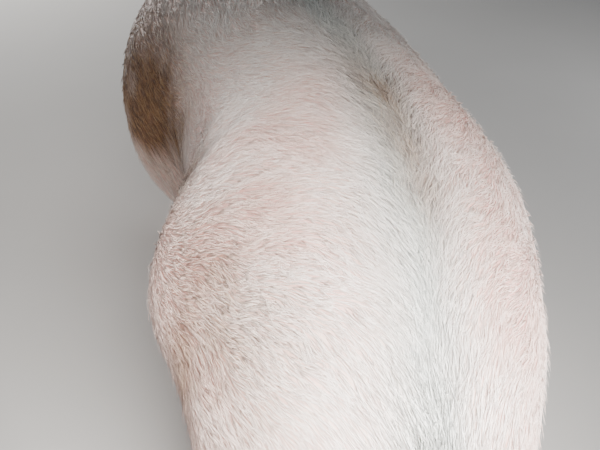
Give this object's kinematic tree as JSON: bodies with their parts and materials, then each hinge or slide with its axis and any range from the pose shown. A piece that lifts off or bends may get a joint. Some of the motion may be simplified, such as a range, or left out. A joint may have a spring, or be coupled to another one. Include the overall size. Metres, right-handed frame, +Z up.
{
  "type": "domestic pig",
  "caption": "Life-size standing domestic pig of a large white type, a still model with bristly coat, upright ears, curled tail and cloven feet flat on the floor.",
  "frame": {"origin": "on the floor under the middle of the model's box", "axes": "+Y towards the head, +X to the pig's right side, +Z up"},
  "size_m": [0.5534, 1.9106, 0.8912],
  "materials": {
    "skin": "pale pink skin, matt",
    "snout_skin": "bare damp pink skin",
    "ear_skin": "thin pink skin",
    "bristle": "white bristles, satin",
    "horn": "worn pale horn",
    "eye": "wet dark brown"
  },
  "bodies": {
    "root": {"torso": "skin", "neck": "skin", "head": "skin", "snout": "snout_skin", "leg_front_left": "skin", "leg_front_right": "skin", "leg_hind_left": "skin", "leg_hind_right": "skin", "ear_left": "ear_skin", "ear_right": "ear_skin", "eye_left": "eye", "eye_right": "eye", "tail_root": "skin", "tail_loop": "skin", "tail_tip": "bristle", "claw_front_left_inner": "horn", "claw_front_left_outer": "horn", "claw_front_right_inner": "horn", "claw_front_right_outer": "horn", "claw_hind_left_inner": "horn", "claw_hind_left_outer": "horn", "claw_hind_right_inner": "horn", "claw_hind_right_outer": "horn", "dewclaw_front_left_inner": "horn", "dewclaw_front_left_outer": "horn", "dewclaw_front_right_inner": "horn", "dewclaw_front_right_outer": "horn", "dewclaw_hind_left_inner": "horn", "dewclaw_hind_left_outer": "horn", "dewclaw_hind_right_inner": "horn", "dewclaw_hind_right_outer": "horn"}
  },
  "joints": []
}
